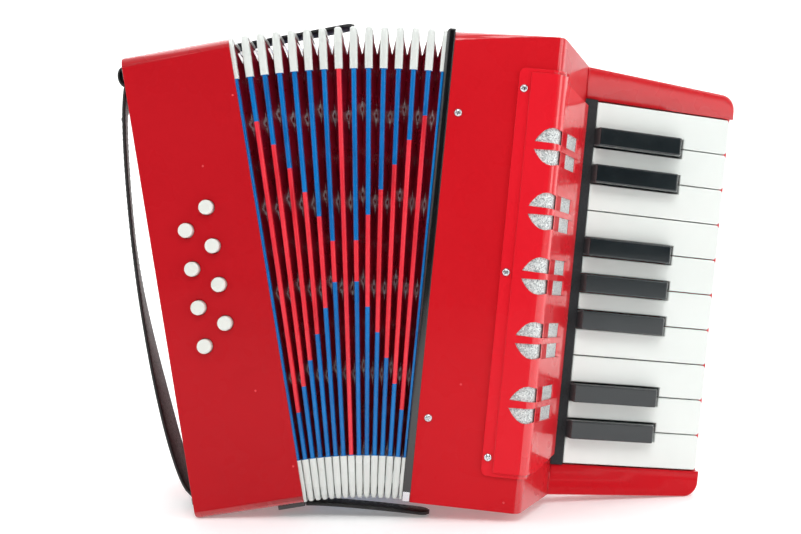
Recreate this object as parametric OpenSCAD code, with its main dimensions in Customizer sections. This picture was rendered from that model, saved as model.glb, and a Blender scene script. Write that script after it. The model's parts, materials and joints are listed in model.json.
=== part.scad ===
// A small piano accordion: seventeen piano keys, eight bass buttons and a fan of bellows.
// Millimetres. +X points from the bass box to the keyboard, +Y to the player, +Z up.
// Each box is drawn upright in its own frame and then leaned into the rest pose.

/* [Boxes] */
// Height of both boxes and of the bellows
box_h = 230; // [220:1:240]
// Depth of both boxes at the bellows, front face to back face
box_d = 112; // [105:1:120]
// Thickness of the casing walls
wall = 2.5; // [2:0.1:3]
// Width of the treble box's front face
treble_w = 52.5; // [51:0.5:54]
// How far the treble front comes forward between the bellows and its ridge
treble_rise = 2.1; // [1.5:0.1:3]
// Radius of the ridge between the front face and the sloping face
ridge_r = 6; // [4:0.5:7]
// Distance from the bellows to the foot of the sloping face
foot_x = 71; // [70:0.5:72]
// Depth of that foot, which is the level of the keyboard
foot_y = 34.2; // [33:0.1:35]
// How much lower the treble top is at the foot than at the ridge
foot_drop = 4.2; // [3:0.1:4.5]
// How much higher the treble bottom is at the foot than at the ridge
foot_lift = 2.5; // [1.5:0.1:3]
// Width of the bass box, without its end plate
bass_w = 54; // [53:0.1:55]
// How far the bass front falls back towards its outer end
bass_fall = 2.3; // [1:0.1:3]
// Radius of the bass box's outer corners
bass_corner_r = 2; // [1.5:0.5:3]
// Radius of the fronts' upper edges
top_round = 7; // [6:0.5:8]
// Radius of the bass front's lower edge
low_round = 5; // [4:0.5:6]
// Thickness of the plate on the bass box's outer end
end_plate_t = 1.5; // [1.2:0.1:2]

/* [Bellows] */
// Number of full pleats
pleats = 13; // [13:1:13]
// Spacing of the pleats when the bellows is shut
pleat_pitch = 3.4; // [3.3:0.05:3.6]
// Thickness of one folded pleat
pleat_t = 3; // [2.6:0.1:3]
// Depth of a pleat, peak to valley
pleat_deep = 12; // [10:0.5:14]
// Width of the black frame that holds the bellows on the treble box
frame_w = 4; // [3.5:0.1:4.5]

/* [Bass side] */
// Radius of a bass button
button_r = 3.6; // [3.4:0.1:3.8]
// How far a button stands proud of the front
button_proud = 3.3; // [3:0.1:3.6]
// Spacing of the buttons along a column
button_pitch = 19; // [18.8:0.1:19.2]
// Distance between the two columns
button_gap = 11.75; // [11.5:0.05:12]

/* [Keyboard] */
// Number of white keys
white_keys = 10; // [10:1:10]
// Spacing of the white keys
key_pitch = 18.93; // [18.85:0.01:19]
// Visible length of a white key
white_len = 76.2; // [75:0.1:77]
// Visible length of a black key
black_len = 50; // [46:0.5:52]
// Width of a black key
black_w = 9.3; // [8.8:0.1:9.6]
// How far a black key stands above the white ones
black_proud = 7; // [5:0.5:8]
// Thickness of a key below its playing surface
key_t = 7; // [6:0.5:7.5]
// Angle between the keyboard and the plane of the boxes
key_slope = 13.3; // [12:0.1:15]
// Height of the lowest key's outer edge above the box's bottom
keys_z = 19.2; // [19:0.1:20]
// Gap between a key and its neighbour
key_gap = 0.5; // [0.4:0.05:0.7]
// Radius of the rod that all the keys turn on
rod_r = 1.5; // [1.4:0.1:1.8]

/* [Grille] */
// Distance from the bellows to the panel's near edge
panel_x = 32.5; // [32:0.1:34]
// Height of the panel's lower edge
panel_z0 = 17; // [16:0.1:18]
// Height of the panel's upper edge
panel_z1 = 213.8; // [213:0.1:215]
// Width of the panel's flat flange
flange_w = 5.7; // [5:0.1:7]
// Number of grille openings
grilles = 5; // [5:1:5]
// Spacing of the grille openings
grille_pitch = 31.1; // [30.8:0.1:31.4]

/* [Straps] */
// Width of the hand strap
hand_strap_w = 22; // [20:1:26]
// How far the hand strap bows away from the end plate
hand_strap_bow = 13.1; // [12:0.1:14]
// Width of the straps that hold the bellows shut
closing_strap_w = 11; // [10:0.5:13]
// Thickness of all the straps
strap_t = 2; // [1.8:0.1:2.2]

/* [Rest pose] */
// Lean of the treble box, its top towards the keyboard
treble_lean = 5.6; // [5.6:0.1:5.6]
// How far the bellows is fanned open at rest
fan_rest = 14.9; // [14.9:0.1:14.9]

/* [Hidden] */
$fn = 48;

// A small gap that keeps cuts clean
eps = 0.1;
// How far a rounded edge stands short of being tangent to its faces
crease = 0.03;
// Running clearance of a shaft in its hole, on the radius
running = 0.06;

// Where the treble box's lower front corner stands: the floor is z = 0 under the bass box's
// outer lower edge and the keyboard's lower corner, and x = y = 0 is the middle of the object.
treble_at = [-13.65, -59.43, 9.539];

// Bellows: the fan turns about the middle of its bottom edge.
shut_gap = (pleats + 1) * pleat_pitch;
fan_x = -frame_w - shut_gap / 2;
bass_x = -frame_w - shut_gap;

// Keyboard frame: x runs along a key from its root, y into the bed, z across the keys.
root_in = 7;
root_x = foot_x + root_in;
root_y = foot_y + root_in * tan(key_slope);
keys_h = white_keys * key_pitch;
bed_t = 16;
bed_floor = 13;
bed_lip = white_len + 0.6;
bed_end = white_len + 2.3;
bed_start = -root_in - 0.2;
bed_corner_r = 8;
rod_s = -15;
rod_w = 6;
lever_w = 6;
lever_top = 2.2;
board_w = 14;
white_pallet_s = -57;
black_pallet_s = -35;
pallet_len = 18;
// White keys, counted from the top, that have a black key below them
blacks_after = [0, 1, 3, 4, 5, 7, 8];

// Front of the treble box: angles of its two faces
front_slope = atan(treble_rise / treble_w);
slope_angle = atan((foot_y + treble_rise) / (foot_x - treble_w));
bass_slope = atan(bass_fall / bass_w);
front_n = [-sin(front_slope), -cos(front_slope)];
slope_n = [sin(slope_angle), -cos(slope_angle)];
mesh_t = 1.4;
flange_t = 1.2;
panel_t = 2.2;

// Screws
screw_r = 1.2;
screw_head_r = 2.3;
screw_head_h = 1.1;
panel_screw_x = panel_x + 2.8;
panel_screws_z = [25.9, 115.2, 203.8];
front_screws = [[5, 189.6], [5, 41.5]];
cover_screws = [[8, 8], [60, 8], [8, 220], [60, 220]];
// Inside of the treble casing, bottom and top
cavity_z0 = 4.5;
cavity_z1 = 223.5;

// Bass buttons
button_x = -23.6;
button_z = 92.6;
button_wall_gap = 0.25;
stem_r = 1.5;
guide_w = 12;
// Depth at which the bass casing's cavity starts
bass_in = wall + bass_fall + 2;

// Straps
closing_top_y = 24;
closing_bottom_y = 6.5;
closing_reach = 61;
hand_strap_y = 22;
strap_z0 = 8;
strap_z1 = 221.5;
strap_end_gap = 1.3;
clamp_t = 0.6;

// ---- Frames ----

module in_treble() {
    translate(treble_at)
        rotate([0, treble_lean, 0])
            children();
}

module in_pleat(k) {
    x = -frame_w - k * pleat_pitch;
    pole = (-frame_w + x) / 2;
    in_treble()
        translate([pole, 0, 0])
            rotate([0, -fan_rest * k / (pleats + 1), 0])
                translate([x - pole, 0, 0])
                    children();
}

module in_bass() {
    in_treble()
        translate([fan_x, 0, 0])
            rotate([0, -fan_rest, 0])
                translate([bass_x - fan_x, 0, 0])
                    children();
}

module in_keys() {
    in_treble()
        translate([root_x, root_y, 0])
            rotate([0, 0, key_slope])
                children();
}

// A frame on the treble front: x along the face, y inward
module on_front() {
    in_treble()
        rotate([0, 0, -front_slope])
            children();
}

// A frame on the bass front: x along the face, y inward
module on_bass_front() {
    in_bass()
        rotate([0, 0, -bass_slope])
            children();
}

// ---- Shapes that repeat ----

// What lies outside a rounded edge of radius r along x, with the corner at the origin: the box
// is behind and below it. The round meets both faces at a faint crease.
module edge_round(r, long) {
    rotate([90, 0, 90])
        linear_extrude(long)
            difference() {
                translate([-3, -r])
                    square([3 + r, 3 + r]);
                translate([r - crease, crease - r])
                    circle(r = r);
            }
}

// Turns a flat outline in x and z into a plate that runs from y = 0 to y = t
module plate(t) {
    translate([0, t, 0])
        rotate([90, 0, 0])
            linear_extrude(t)
                children();
}

function arc(centre, r, from, to, steps) = [
    for (i = [0:steps])
        let (a = from + (to - from) * i / steps)
            [centre[0] + r * cos(a), centre[1] + r * sin(a)]
];

// The treble front, d outside the casing: along the face from x, round the ridge, down to the foot
function ridge(d) =
    [treble_w, -treble_rise] + d * (front_n + slope_n) / (1 + front_n * slope_n);
function ridge_centre() = ridge(-ridge_r);
function front_at(x, d) = [x, -treble_rise * x / treble_w] + d * front_n;
function foot_at(d, short = 0) =
    [foot_x, foot_y] + d * slope_n - short * [cos(slope_angle), sin(slope_angle)];
function front_line(x, d, short = 0) = concat(
    [front_at(x, d)],
    arc(ridge_centre(), ridge_r + d, 270 - front_slope, 270 + slope_angle, 8),
    [foot_at(d, short)]
);
function reversed(points) = [for (i = [len(points) - 1:-1:0]) points[i]];

// A skin that wraps round the ridge, between d0 and d1 outside the casing
module front_skin(x, d0, d1, z0, z1, short = 0) {
    translate([0, 0, z0])
        linear_extrude(z1 - z0)
            polygon(concat(front_line(x, d1, short), reversed(front_line(x, d0, short))));
}

module screw(long) {
    rotate([90, 0, 0])
        cylinder(r = screw_head_r, h = screw_head_h);
    rotate([-90, 0, 0])
        translate([0, 0, -eps])
            cylinder(r = screw_r, h = long + eps);
}

module screw_hole(long) {
    rotate([90, 0, 0])
        cylinder(r = screw_r + 0.15, h = 2 * long, center = true);
}

// A rectangular ring, t thick along x
module ring(t, height, depth, rim) {
    difference() {
        cube([t, depth, height]);
        translate([-eps, rim, rim])
            cube([t + 2 * eps, depth - 2 * rim, height - 2 * rim]);
    }
}

// ---- Treble box ----

module treble_outline(d) {
    w_dir = [-sin(key_slope), cos(key_slope)];
    step = foot_at(-d) + bed_t * w_dir;
    polygon(concat(
        front_line(d > 0 ? -eps : 0, -d),
        [step, [foot_x - 3 - d, box_d - wall + (d > 0 ? eps : 0)],
         [d > 0 ? -eps : 0, box_d - wall + (d > 0 ? eps : 0)]]
    ));
}

module grille_window(z, margin) {
    translate([panel_x + 9 + margin, -20, z - 11 + margin])
        cube([treble_w - panel_x - 9 + 8 - 2 * margin, 45, 22 - 2 * margin]);
}

module treble_casing() {
    color([0.78, 0.10, 0.12]) {
        difference() {
            in_treble()
                difference() {
                    linear_extrude(box_h)
                        treble_outline(0);
                    translate([0, 0, cavity_z0])
                        linear_extrude(cavity_z1 - cavity_z0)
                            treble_outline(wall);
                    translate([treble_w, -20, box_h])
                        rotate([0, atan(foot_drop / (foot_x - treble_w)), 0])
                            cube([60, box_d + 40, 20]);
                    translate([treble_w, -20, 0])
                        rotate([0, -atan(foot_lift / (foot_x - treble_w)), 0])
                            translate([0, 0, -20])
                                cube([60, box_d + 40, 20]);
                    for (i = [0:grilles - 1])
                        grille_window(grille_z(i), 0);
                    for (p = cover_screws)
                        translate([p[0], box_d - wall, p[1]])
                            screw_hole(3);
                }
            in_keys()
                translate([bed_start - 6, 1, keys_z - key_gap])
                    cube([10, bed_floor - 1, keys_h + 2 * key_gap]);
            on_front()
                for (p = front_screws)
                    translate([p[0], 0, p[1]])
                        screw_hole(5);
            on_front()
                for (z = panel_screws_z)
                    translate([panel_screw_x, 0, z])
                        screw_hole(5);
            on_front()
                translate([0, 0, box_h])
                    rotate([0, -2.2, -2.2])
                        translate([-5, 0, 0])
                            edge_round(top_round, 61);
        }
        in_treble()
            for (p = cover_screws)
                translate([p[0], box_d - wall, p[1]])
                    rotate([90, 0, 0])
                        difference() {
                            cylinder(r = 4, h = 8);
                            cylinder(r = screw_r + 0.15, h = 20, center = true);
                        }
    }
}

function grille_z(i) = 52.7 + i * grille_pitch;

module treble_back_cover() {
    color([0.08, 0.08, 0.09])
        in_treble()
            translate([0, box_d - wall, 0])
                difference() {
                    translate([0, 0, foot_lift + 0.1])
                        cube([foot_x - 3, wall, box_h - foot_drop - foot_lift - 0.2]);
                    for (p = cover_screws)
                        translate([p[0], 0, p[1]])
                            screw_hole(5);
                    for (i = [0:5])
                        translate([22 + 5 * i, 0, 90])
                            cube([2, 20, 50], center = false);
                }
}

module treble_bellows_frame() {
    color([0.05, 0.05, 0.06])
        in_treble()
            translate([-frame_w, 0, 0])
                ring(frame_w, box_h, box_d - wall, 9);
}

module treble_soundboard() {
    color([0.80, 0.66, 0.45])
        in_keys()
            difference() {
                union() {
                    translate([-72, board_w, 10])
                        cube([58, 3, 208]);
                    for (z = [10, 214])
                        translate([rod_s - 5, 1.5, z])
                            cube([8, board_w - 1, 4]);
                }
                translate([rod_s, rod_w, 0])
                    cylinder(r = rod_r + running, h = box_h);
                for (i = [0:white_keys - 1])
                    translate([white_pallet_s - 4, board_w - 1, white_z(i) - 4])
                        cube([8, 6, 8]);
                for (i = blacks_after)
                    translate([black_pallet_s - 4, board_w - 1, black_z(i) - 4])
                        cube([8, 6, 8]);
            }
}

module treble_reed_block() {
    color([0.72, 0.55, 0.34])
        in_keys()
            difference() {
                translate([-68, board_w + 3.05, 14])
                    cube([40, 15, 200]);
                for (i = [0:white_keys - 1])
                    translate([white_pallet_s - 5, board_w, white_z(i) - 5])
                        cube([10, 14, 10]);
                for (i = blacks_after)
                    translate([black_pallet_s - 5, board_w, black_z(i) - 3])
                        cube([10, 14, 6]);
            }
}

// ---- Keyboard ----

function white_z(i) = keys_z + keys_h - (i + 0.5) * key_pitch;
function black_z(i) = keys_z + keys_h - (i + 1) * key_pitch;

// The bed's outline: the casing's height at the foot, tapering a little to round outer corners
module bed_outline() {
    low = foot_lift;
    low_end = 4.82;
    high = box_h - foot_drop;
    high_end = 221.6;
    polygon(concat(
        [[bed_start, high], [bed_start, low]],
        arc([bed_end - bed_corner_r, low_end + bed_corner_r], bed_corner_r, 270, 360, 8),
        arc([bed_end - bed_corner_r, high_end - bed_corner_r], bed_corner_r, 0, 90, 8)
    ));
}

module keybed() {
    color([0.78, 0.10, 0.12])
        in_keys()
            difference() {
                plate(bed_t)
                    bed_outline();
                translate([bed_start - eps, -eps, keys_z - key_gap])
                    cube([bed_lip - bed_start + eps, bed_floor + eps, keys_h + 2 * key_gap]);
                translate([bed_lip - eps, -eps, keys_z - key_gap])
                    cube([4, 4.2 + eps, keys_h + 2 * key_gap]);
            }
}

module key_rod() {
    color([0.75, 0.75, 0.77])
        in_keys()
            translate([rod_s, rod_w, 8])
                cylinder(r = rod_r, h = 212);
}

module key_strip() {
    color([0.04, 0.04, 0.05])
        in_keys()
            translate([bed_start + 0.2, -0.6, keys_z - key_gap])
                cube([root_in - 0.6, 2, keys_h + 2 * key_gap]);
}

// The hidden half of a key: its lever, the boss on the rod and the pallet over its sound hole
module key_lever(z, pallet_s, pallet_w) {
    difference() {
        union() {
            translate([pallet_s - 6, lever_top, z - lever_w / 2])
                cube([6 - pallet_s + 4, 4.6, lever_w]);
            translate([rod_s, rod_w, z - lever_w / 2])
                cylinder(r = 3.8, h = lever_w);
            translate([pallet_s - pallet_len / 2, 6, z - pallet_w / 2])
                cube([pallet_len, board_w - 6.1, pallet_w]);
        }
        translate([rod_s, rod_w, z - 20])
            cylinder(r = rod_r + running, h = 40);
    }
}

module white_outline(i) {
    half = (key_pitch - key_gap) / 2;
    r = 1.8;
    notch = black_w / 2 + 0.4;
    difference() {
        union() {
            translate([0, -half])
                square([white_len - r, 2 * half]);
            translate([0, r - half])
                square([white_len, 2 * (half - r)]);
            for (side = [-1, 1])
                translate([white_len - r, side * (half - r)])
                    circle(r = r);
        }
        if (len(search(i, blacks_after)) > 0)
            translate([-eps, -half - 5])
                square([black_len + 0.5 + eps, 5 + half - key_pitch / 2 + notch]);
        if (i > 0 && len(search(i - 1, blacks_after)) > 0)
            translate([-eps, key_pitch / 2 - notch])
                square([black_len + 0.5 + eps, notch + 5]);
    }
}

module white_key(i) {
    color([0.93, 0.93, 0.91])
        in_keys() {
            translate([0, 0, white_z(i)])
                plate(key_t)
                    white_outline(i);
            key_lever(white_z(i), white_pallet_s, 14);
        }
}

module black_key(i) {
    bevel = 4.5;
    color([0.05, 0.06, 0.08])
        in_keys() {
            translate([0, 0, black_z(i) - black_w / 2])
                linear_extrude(black_w)
                    polygon([[0, key_t], [0, -black_proud], [black_len - bevel, -black_proud],
                             [black_len, 0.5], [black_len, key_t]]);
            key_lever(black_z(i), black_pallet_s, 12);
        }
}

// Keys are numbered from the top, white and black together
function is_black(n) = len(search(n, [2, 4, 7, 9, 11, 14, 16])) > 0;
function whites_above(n) = len([for (m = [1:1:n - 1]) if (!is_black(m)) m]);

module key(n) {
    if (is_black(n))
        black_key(whites_above(n) - 1);
    else
        white_key(whites_above(n));
}

// ---- Grille panel ----

// One half of a grille opening: a flat-based leaf, pointed at its outer end
module half_leaf() {
    polygon([[0, 1.9], [13.2, 1.5], [13.2, 8], [10.8, 8.7], [8.6, 9], [6.4, 8.6], [4.3, 7.4],
             [2.5, 5.6], [1, 3.6]]);
}

module leaf_cut(z) {
    for (side = [-1, 1])
        translate([42.6, 30, z])
            scale([1, 1, side])
                rotate([90, 0, 0])
                    linear_extrude(60)
                        half_leaf();
    in_slope_cut(z);
}

// The opening's other half, on the sloping face: a shallow pocket beside the ridge and a through
// cut whose far wall leans outward. Here x runs down the slope and y into the box.
module in_slope_cut(z) {
    for (side = [0, 1])
        translate([ridge(panel_t)[0], ridge(panel_t)[1], side == 0 ? z + 1.5 : z - 8.6])
            rotate([0, 0, slope_angle])
                linear_extrude(7.1)
                    polygon([[6, -1], [39.5, -1], [26.5, 1.2], [26.5, 6], [14.5, 6], [14.5, 0.7], [6, 0.7]]);
}

module panel_ends_cut() {
    for (side = [0, 1])
        translate([treble_w + 3.4, -12, side == 0 ? panel_z0 : panel_z1 - 5])
            rotate([0, side == 0 ? -24 : 12, 0])
                translate([0, 0, side == 0 ? -20 : 0])
                    cube([40, 60, 20]);
}

// Rounds the panel's left corner at the bottom (end 0) or at the top (end 1)
module panel_corner_cut(end, r) {
    translate([panel_x, -20, end == 0 ? panel_z0 : panel_z1])
        plate(40)
            mirror([0, end])
                difference() {
                    translate([-1, -1])
                        square([r + 1, r + 1]);
                    translate([r, r])
                        circle(r = r);
                }
}

module register_panel() {
    color([0.86, 0.09, 0.12])
        difference() {
            in_treble()
                difference() {
                    union() {
                        front_skin(panel_x, 0, flange_t, panel_z0, panel_z1, 1);
                        front_skin(panel_x + flange_w, 0, panel_t, panel_z0 + 2, panel_z1 - 2, 1);
                    }
                    front_skin(panel_x + flange_w + 2, -1, mesh_t, panel_z0 + 14,
                               panel_z1 - 14, 5);
                    for (i = [0:grilles - 1])
                        leaf_cut(grille_z(i));
                    panel_ends_cut();
                    panel_corner_cut(0, 3);
                    panel_corner_cut(1, 3);
                }
            on_front()
                for (z = panel_screws_z)
                    translate([panel_screw_x, 0, z])
                        screw_hole(5);
        }
}

module grille_mesh() {
    color([0.72, 0.73, 0.75])
        in_treble()
            front_skin(panel_x + flange_w + 2.4, 0.05, mesh_t - 0.05, panel_z0 + 15,
                       panel_z1 - 15, 6);
}

// ---- Small metal parts ----

module treble_screws() {
    color([0.78, 0.78, 0.80]) {
        on_front() {
            for (p = front_screws)
                translate([p[0], 0, p[1]])
                    screw(5);
            for (z = panel_screws_z)
                translate([panel_screw_x, -flange_t, z])
                    screw(5);
        }
        in_treble()
            for (p = cover_screws)
                translate([p[0], box_d, p[1]])
                    mirror([0, 1, 0])
                        screw(8);
    }
}

// A wire staple at the top and the bottom of the back, for a shoulder strap
module strap_brackets() {
    wire_r = 1.5;
    half = 14;
    out = 9;
    color([0.78, 0.78, 0.80])
        in_treble()
            for (z = [26, 200])
                translate([35, box_d, z]) {
                    translate([-half - 5, 0, -4])
                        cube([2 * half + 10, 1.4, 8]);
                    for (side = [-1, 1])
                        translate([side * half, 0.5, 0])
                            rotate([-90, 0, 0])
                                cylinder(r = wire_r, h = out);
                    for (side = [-1, 1])
                        translate([side * half, out + 0.5, 0])
                            sphere(r = wire_r);
                    translate([-half, out + 0.5, 0])
                        rotate([0, 90, 0])
                            cylinder(r = wire_r, h = 2 * half);
                }
}

// The studs on the treble box that the closing straps snap onto
module snap_studs() {
    color([0.62, 0.50, 0.33])
        in_treble()
            for (side = [0, 1])
                translate([7, (side == 1 ? closing_top_y : closing_bottom_y) + closing_strap_w / 2,
                           side * box_h])
                    mirror([0, 0, 1 - side]) {
                        cylinder(r = 4.5, h = 0.4);
                        cylinder(r = 2, h = 0.7);
                    }
}

// ---- Bellows ----

module pleat(k) {
    color(k % 2 == 0 ? [0.10, 0.42, 0.75] : [0.80, 0.16, 0.24])
        in_pleat(k)
            translate([-pleat_t / 2, 1, 0])
                ring(pleat_t, box_h, box_d - wall - 2, pleat_deep);
}

// ---- Bass box ----

// The bass box seen from the front, d inside its outer faces; its outer corners are rounded
module bass_outline(d) {
    r = max(bass_corner_r - d, 0.5);
    left = -bass_w + d;
    polygon(concat(
        [[d > 0 ? eps : 0, d]],
        [[d > 0 ? eps : 0, box_h - d]],
        arc([left + r, box_h - d - r], r, 90, 180, 4),
        arc([left + r, d + r], r, 180, 270, 4)
    ));
}

function button_at(n) = n <= 4
    ? [button_x, button_z + (4 - n) * button_pitch]
    : [button_x - button_gap, button_z - button_pitch / 2 + (8 - n) * button_pitch];

module bass_casing() {
    color([0.72, 0.10, 0.12])
        difference() {
            in_bass()
                difference() {
                    plate(box_d)
                        bass_outline(0);
                    translate([0, bass_in, 0])
                        plate(box_d - wall - bass_in)
                            bass_outline(wall);
                    rotate([0, 0, -bass_slope]) {
                        translate([-100, -20, -10])
                            cube([120, 20, box_h + 20]);
                        translate([-100, 0, box_h])
                            edge_round(top_round, 120);
                        translate([-100, 0, 0])
                            mirror([0, 0, 1])
                                edge_round(low_round, 120);
                    }
                }
            on_bass_front()
                for (n = [1:8])
                    translate([button_at(n)[0], -eps, button_at(n)[1]])
                        rotate([-90, 0, 0])
                            cylinder(r = button_r + button_wall_gap, h = bass_in + 1);
        }
}

module bass_end_plate() {
    color([0.70, 0.10, 0.12])
        in_bass()
            translate([-bass_w - end_plate_t, bass_fall + 8, bass_corner_r])
                cube([end_plate_t, box_d - bass_fall - 16, box_h - 2 * bass_corner_r]);
}

module bass_bellows_frame() {
    color([0.05, 0.05, 0.06])
        in_bass()
            translate([-3, bass_in + 0.1, wall + 0.1])
                ring(3, box_h - 2 * wall - 0.2, box_d - wall - bass_in - 0.2, 7);
}

module bass_button_plate() {
    color([0.80, 0.66, 0.45])
        on_bass_front()
            difference() {
                translate([-46, guide_w, 20])
                    cube([42, 2, 190]);
                for (n = [1:8])
                    translate([button_at(n)[0], 0, button_at(n)[1]])
                        rotate([-90, 0, 0])
                            cylinder(r = stem_r + running, h = 40);
            }
}

module bass_reed_block() {
    color([0.72, 0.55, 0.34])
        in_bass()
            difference() {
                translate([-46, 60, 20])
                    cube([38, 18, 190]);
                for (i = [0:7])
                    translate([-42, 58, 27 + 22.5 * i])
                        cube([30, 16, 16]);
            }
}

module bass_button(n) {
    color([0.94, 0.94, 0.92])
        on_bass_front()
            translate([button_at(n)[0], 0, button_at(n)[1]])
                rotate([-90, 0, 0]) {
                    translate([0, 0, -button_proud])
                        cylinder(r = button_r, h = button_proud + 4);
                    translate([0, 0, 3])
                        cylinder(r = stem_r, h = 16);
                }
}

// ---- Straps ----

// How far the hand strap's inner face stands off the end plate, at height z
function bow(z) =
    let (u = (z - strap_z0) / (strap_z1 - strap_z0))
        strap_end_gap + (hand_strap_bow - strap_end_gap) * pow(sin(180 * pow(u, 0.78)), 0.55);

module hand_strap() {
    steps = 24;
    zs = [for (i = [0:steps]) strap_z0 + (strap_z1 - strap_z0) * i / steps];
    x0 = -bass_w - end_plate_t;
    color([0.07, 0.06, 0.06])
        in_bass()
            translate([0, hand_strap_y, 0])
                rotate([90, 0, 0])
                    mirror([0, 0, 1])
                        linear_extrude(hand_strap_w)
                            polygon(concat(
                                [for (z = zs) [x0 - bow(z), z]],
                                [for (z = reversed(zs)) [x0 - bow(z) - strap_t, z]]
                            ));
}

// Clamps on the bass box: two on the end plate for the hand strap, one below for the bottom strap
module strap_lugs() {
    lug_out = strap_end_gap + strap_t + 1;
    x0 = -bass_w - end_plate_t;
    color([0.06, 0.06, 0.07])
        in_bass()
            for (z = [[2.5, strap_z0], [strap_z1, box_h - 0.5]])
                translate([x0 - lug_out, hand_strap_y - 2, z[0]])
                    cube([lug_out, hand_strap_w + 4, z[1] - z[0]]);
    color([0.06, 0.06, 0.07])
        in_bass()
            translate([-14, closing_bottom_y, -clamp_t - strap_t])
                cube([13.5, closing_strap_w, clamp_t + strap_t]);
}

// A closing strap: a flat band whose height over the box follows a curve
function top_strap_z(x) = x > 0 ? 0.35 + 0.7 * pow(x / closing_reach, 2) : 0;
function bottom_strap_z(x) = clamp_t + 15.2 * pow(x / closing_reach, 1.15);

module closing_strap_top() {
    xs = [-14, 0, 10, 20, 30, 40, 50, closing_reach];
    color([0.06, 0.06, 0.07])
        in_bass()
            translate([0, closing_top_y, box_h])
                rotate([90, 0, 0])
                    mirror([0, 0, 1])
                        linear_extrude(closing_strap_w)
                            polygon(concat(
                                [for (x = xs) [x, top_strap_z(x)]],
                                [for (x = reversed(xs)) [x, top_strap_z(x) + strap_t]]
                            ));
}

// The bottom strap hangs from its clamp, below the bellows
module closing_strap_bottom() {
    xs = [0, 6, 12, 20, 30, 40, 50, closing_reach - 2];
    color([0.06, 0.06, 0.07])
        in_bass()
            translate([0, closing_bottom_y, 0])
                rotate([90, 0, 0])
                    mirror([0, 0, 1])
                        linear_extrude(closing_strap_w)
                            polygon(concat(
                                [for (x = xs) [x, -bottom_strap_z(x)]],
                                [for (x = reversed(xs)) [x, -bottom_strap_z(x) - strap_t]]
                            ));
}

// ---- The nodes ----

treble_casing();
treble_back_cover();
treble_bellows_frame();
treble_soundboard();
treble_reed_block();
keybed();
key_rod();
key_strip();
register_panel();
grille_mesh();
treble_screws();
strap_brackets();
snap_studs();
for (n = [1:17]) key(n);
for (k = [1:13]) pleat(k);
bass_casing();
bass_end_plate();
bass_bellows_frame();
bass_button_plate();
bass_reed_block();
hand_strap();
strap_lugs();
closing_strap_top();
closing_strap_bottom();
for (n = [1:8]) bass_button(n);
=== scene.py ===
import json
import math

import bmesh
import bpy
from mathutils import Matrix, Vector


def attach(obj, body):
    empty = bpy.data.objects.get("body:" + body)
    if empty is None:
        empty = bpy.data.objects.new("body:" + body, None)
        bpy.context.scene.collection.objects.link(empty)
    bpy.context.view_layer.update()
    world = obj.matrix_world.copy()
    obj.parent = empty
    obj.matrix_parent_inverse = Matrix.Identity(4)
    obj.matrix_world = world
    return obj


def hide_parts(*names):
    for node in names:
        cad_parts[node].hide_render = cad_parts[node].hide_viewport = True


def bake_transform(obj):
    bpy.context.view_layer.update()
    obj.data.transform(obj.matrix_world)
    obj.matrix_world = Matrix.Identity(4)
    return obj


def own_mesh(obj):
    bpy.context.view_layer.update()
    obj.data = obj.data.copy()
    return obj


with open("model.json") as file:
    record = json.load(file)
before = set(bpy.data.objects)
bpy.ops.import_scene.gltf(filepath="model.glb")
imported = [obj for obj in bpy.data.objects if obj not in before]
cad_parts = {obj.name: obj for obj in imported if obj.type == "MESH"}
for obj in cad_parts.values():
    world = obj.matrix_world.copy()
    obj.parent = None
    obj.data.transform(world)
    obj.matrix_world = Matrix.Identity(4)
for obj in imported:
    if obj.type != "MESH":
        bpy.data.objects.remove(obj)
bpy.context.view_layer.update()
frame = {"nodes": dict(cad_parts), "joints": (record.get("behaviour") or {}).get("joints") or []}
nodes = frame["nodes"]

MM = 0.001
scene = bpy.context.scene

# ---- Sizes shared with the CAD, in millimetres ----
BOX_H, BOX_D = 230.0, 112.0
FRAME_W, PITCH, PLEATS = 4.0, 3.4, 13
TREBLE_W, TREBLE_RISE = 52.5, 2.1
BASS_W, BASS_FALL, END_PLATE = 54.0, 2.3, 1.5
FAN_X = -FRAME_W - (PLEATS + 1) * PITCH / 2
BASS_X = -FRAME_W - (PLEATS + 1) * PITCH
FOOT_X, FOOT_Y = 71.0, 34.2
ROOT_IN, KEY_SLOPE = 7.0, 13.3
ROOT = (FOOT_X + ROOT_IN, FOOT_Y + ROOT_IN * math.tan(math.radians(KEY_SLOPE)))
HALF_D, HALF_H = BOX_D / 2, BOX_H / 2

# ---- Frames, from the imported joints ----
joints = {j["name"]: j for j in frame["joints"]}
up = Vector(joints["key_1_press"]["axis"])
LEAN = math.degrees(math.atan2(up.x, up.z))
FAN = -joints["bellows_fan"]["range_deg"][0]


def at(x=0.0, y=0.0, z=0.0):
    return Matrix.Translation(Vector((x, y, z)) * MM)


def turn(degrees, axis):
    return Matrix.Rotation(math.radians(degrees), 4, axis)


def pivot(name):
    return Matrix.Translation(Vector(joints[name]["pos_m"]))


TREBLE = pivot("bellows_fan") @ turn(LEAN, "Y") @ at(-FAN_X, -HALF_D)
BASS = pivot("bellows_fan") @ turn(LEAN - FAN, "Y") @ at(BASS_X - FAN_X, -HALF_D)
KEYS = TREBLE @ at(ROOT[0], ROOT[1]) @ turn(KEY_SLOPE, "Z")
FRONT = TREBLE @ turn(-math.degrees(math.atan(TREBLE_RISE / TREBLE_W)), "Z")
BASS_FRONT = BASS @ turn(-math.degrees(math.atan(BASS_FALL / BASS_W)), "Z")


def pleat_frame(k):
    """Fold k's frame; 0 is the treble box's bellows frame and the one after the last fold is the bass box."""
    if k == 0:
        return TREBLE @ at(-FRAME_W)
    if k > PLEATS:
        return BASS
    lean = LEAN - FAN * k / (PLEATS + 1)
    return pivot(f"pleat_{k}_fan") @ turn(lean, "Y") @ at(-k * PITCH / 2, -HALF_D)


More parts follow.
